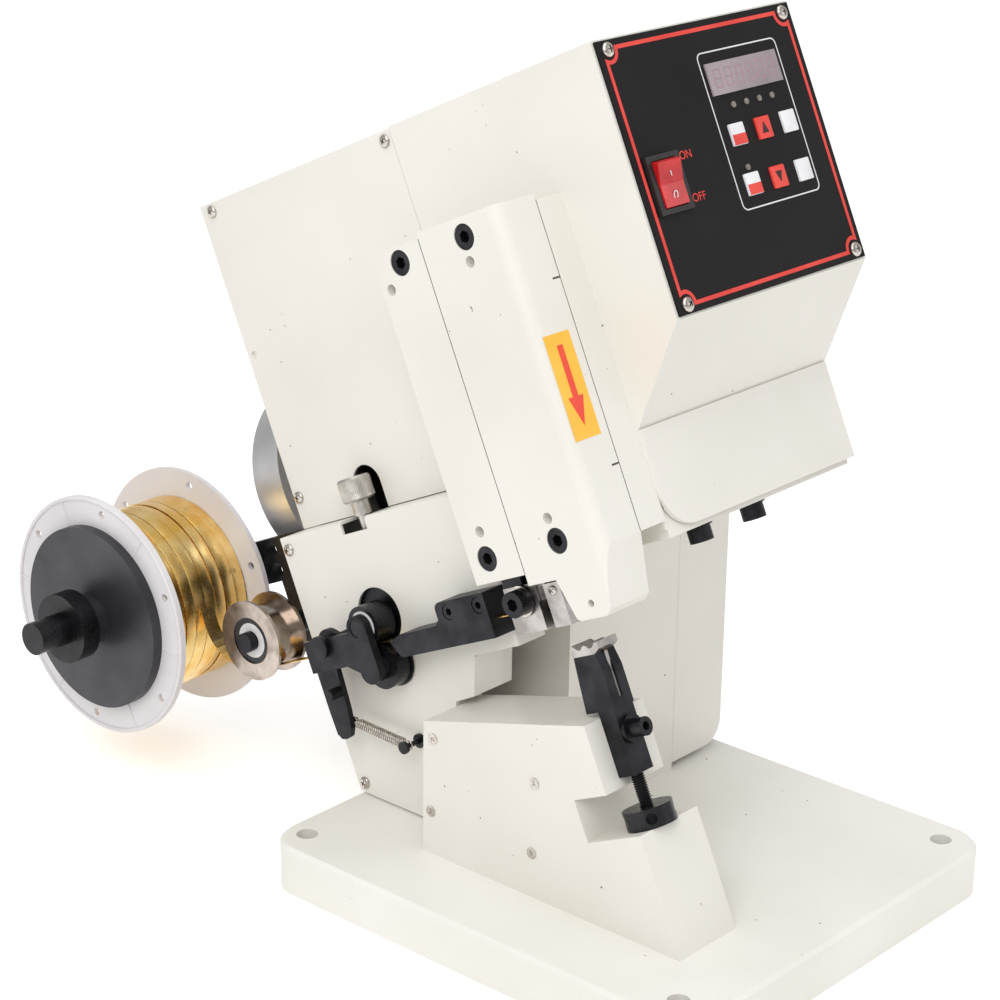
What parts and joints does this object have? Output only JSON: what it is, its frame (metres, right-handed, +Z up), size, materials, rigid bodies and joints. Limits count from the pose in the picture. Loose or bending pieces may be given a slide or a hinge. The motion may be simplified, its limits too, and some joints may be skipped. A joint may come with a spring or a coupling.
{
  "type": "crimping_machine",
  "caption": "Benchtop terminal crimping machine with a head leaning back on a flat base, strip reel, feed rollers, control panel and adjustable lower die",
  "frame": {"origin": "centre of the four mounting holes on the underside of the base plate", "axes": "+X to the operator's right, +Y to the rear, +Z up"},
  "size_m": [0.288, 0.5414, 0.4733],
  "materials": {
    "cream_paint": "satin cream paint on cast iron and sheet steel",
    "black_panel": "printed black panel film and black bezel",
    "dark_window": "dark red display filter",
    "red_plastic": "moulded red plastic",
    "white_plastic": "moulded white key caps",
    "black_oxide": "black oxide steel, lightly oiled",
    "motor_paint": "dark motor paint",
    "bright_steel": "ground bright steel",
    "satin_steel": "turned steel with fine rings",
    "belt_rubber": "matt black belt",
    "reel_plastic": "translucent white plastic reel",
    "pulley_alloy": "turned aluminium",
    "copper_strip": "bright golden copper alloy strip"
  },
  "bodies": {
    "frame": {"base_plate": "cream_paint", "main_frame": "cream_paint", "upper_side_cover": "cream_paint", "lower_side_cover": "cream_paint", "right_cover": "cream_paint", "rear_cover": "cream_paint", "control_box": "cream_paint", "lower_front_cover": "cream_paint", "control_panel": "black_panel", "display_window": "dark_window", "status_leds": "red_plastic", "switch_bezel": "black_panel", "ram_guide": "cream_paint", "ram_cover_plate": "cream_paint", "housing_screws": "black_oxide", "crank_bearings": "bright_steel", "drive_motor": "motor_paint", "drive_belt": "belt_rubber", "head_bolts": "black_oxide", "cutting_die": "bright_steel", "die_spacer": "black_oxide", "strip_clamp": "bright_steel", "die_clamp_screw": "black_oxide", "strip_guide_bar": "black_oxide", "bar_screws": "black_oxide", "feed_side_plate": "black_oxide", "lever_pivot": "black_oxide", "feed_housing": "black_oxide", "tension_spring": "bright_steel", "spring_anchor": "black_oxide", "anvil_block": "cream_paint", "clamp_bolt": "black_oxide", "reel_bracket": "black_oxide", "reel_shaft": "black_oxide", "feed_strip": "copper_strip"},
    "ram_set": {"ram": "bright_steel", "crimp_punch": "bright_steel"},
    "crank": {"crankshaft": "bright_steel", "flywheel": "satin_steel", "crank_pulley": "satin_steel"},
    "motor_rotor": {"motor_pulley": "satin_steel"},
    "feed_drive": {"drive_roller": "black_oxide"},
    "lever": {"pressure_lever": "black_oxide"},
    "nip_roller": {"pressure_roller": "black_oxide"},
    "knob": {"feed_knob": "bright_steel"},
    "reel": {"reel_spool": "reel_plastic", "hub_disc": "black_oxide", "strip_winding": "copper_strip"},
    "pulley": {"guide_pulley": "pulley_alloy"},
    "capstan": {"capstan_nut": "black_oxide"},
    "lower_tool": {"die_holder": "black_oxide", "lower_die": "bright_steel", "adjusting_screw": "black_oxide"},
    "rocker": {"power_rocker": "red_plastic"},
    "button_a1": {"key_a1": "white_plastic"},
    "button_a2": {"key_a2": "red_plastic"},
    "button_a3": {"key_a3": "white_plastic"},
    "button_b1": {"key_b1": "white_plastic"},
    "button_b2": {"key_b2": "red_plastic"},
    "button_b3": {"key_b3": "white_plastic"}
  },
  "joints": [
    {"name": "ram_slide", "type": "slide", "parent": "frame", "child": "ram_set", "axis": [0, 0.4226, 0.9063], "range_m": [-0.025, 0]},
    {"name": "crank_spin", "type": "hinge", "parent": "frame", "child": "crank", "pos_m": [0.04, 0.09974, 0.24189], "axis": [0, 0.9063, -0.4226], "continuous": true},
    {"name": "motor_spin", "type": "hinge", "parent": "frame", "child": "motor_rotor", "pos_m": [0.038, 0.04733, 0.12951], "axis": [0, 0.9063, -0.4226], "continuous": true},
    {"name": "feed_spin", "type": "hinge", "parent": "frame", "child": "feed_drive", "pos_m": [0, 0.12696, 0.14007], "axis": [1, 0, 0], "continuous": true},
    {"name": "lever_swing", "type": "hinge", "parent": "frame", "child": "lever", "pos_m": [0, 0.15326, 0.12193], "axis": [1, 0, 0], "range_deg": [0, 6], "stiffness_Nm_per_rad": 2, "springref_deg": -17.19, "deforming": ["tension_spring"]},
    {"name": "nip_spin", "type": "hinge", "parent": "lever", "child": "nip_roller", "pos_m": [0, 0.11658, 0.11782], "axis": [1, 0, 0], "continuous": true},
    {"name": "knob_turn", "type": "hinge", "parent": "frame", "child": "knob", "pos_m": [-0.049, 0.06136, -0.00061], "axis": [0, 0.4226, 0.9063], "range_deg": [-180, 180]},
    {"name": "reel_spin", "type": "hinge", "parent": "frame", "child": "reel", "pos_m": [0, 0.31782, 0.10003], "axis": [1, 0, 0], "continuous": true},
    {"name": "pulley_spin", "type": "hinge", "parent": "frame", "child": "pulley", "pos_m": [0, 0.21458, 0.10627], "axis": [1, 0, 0], "continuous": true},
    {"name": "holder_slide", "type": "slide", "parent": "frame", "child": "lower_tool", "axis": [0, 0.4226, 0.9063], "range_m": [-0.00125, 0.00125]},
    {"name": "capstan_turn", "type": "hinge", "parent": "frame", "child": "capstan", "pos_m": [-0.0665, -0.08021, 0.0654], "axis": [0, 0.4226, 0.9063], "range_deg": [-360, 360]},
    {"name": "rocker_tilt", "type": "hinge", "parent": "frame", "child": "rocker", "pos_m": [-0.0184, -0.02809, 0.40455], "axis": [1, 0, 0], "range_deg": [-14, 0]},
    {"name": "press_a1", "type": "slide", "parent": "frame", "child": "button_a1", "axis": [0, 0.9063, -0.4226], "range_m": [0, 0.0012], "stiffness_N_per_m": 300, "springref_m": -0.001},
    {"name": "press_a2", "type": "slide", "parent": "frame", "child": "button_a2", "axis": [0, 0.9063, -0.4226], "range_m": [0, 0.0012], "stiffness_N_per_m": 300, "springref_m": -0.001},
    {"name": "press_a3", "type": "slide", "parent": "frame", "child": "button_a3", "axis": [0, 0.9063, -0.4226], "range_m": [0, 0.0012], "stiffness_N_per_m": 300, "springref_m": -0.001},
    {"name": "press_b1", "type": "slide", "parent": "frame", "child": "button_b1", "axis": [0, 0.9063, -0.4226], "range_m": [0, 0.0012], "stiffness_N_per_m": 300, "springref_m": -0.001},
    {"name": "press_b2", "type": "slide", "parent": "frame", "child": "button_b2", "axis": [0, 0.9063, -0.4226], "range_m": [0, 0.0012], "stiffness_N_per_m": 300, "springref_m": -0.001},
    {"name": "press_b3", "type": "slide", "parent": "frame", "child": "button_b3", "axis": [0, 0.9063, -0.4226], "range_m": [0, 0.0012], "stiffness_N_per_m": 300, "springref_m": -0.001}
  ],
  "couplings": [
    {"joint": "motor_spin", "follows": "crank_spin", "ratio": 2.8125},
    {"joint": "nip_spin", "follows": "feed_spin", "ratio": -0.89764},
    {"joint": "capstan_turn", "follows": "holder_slide", "rad_per_m": 5026.5}
  ]
}
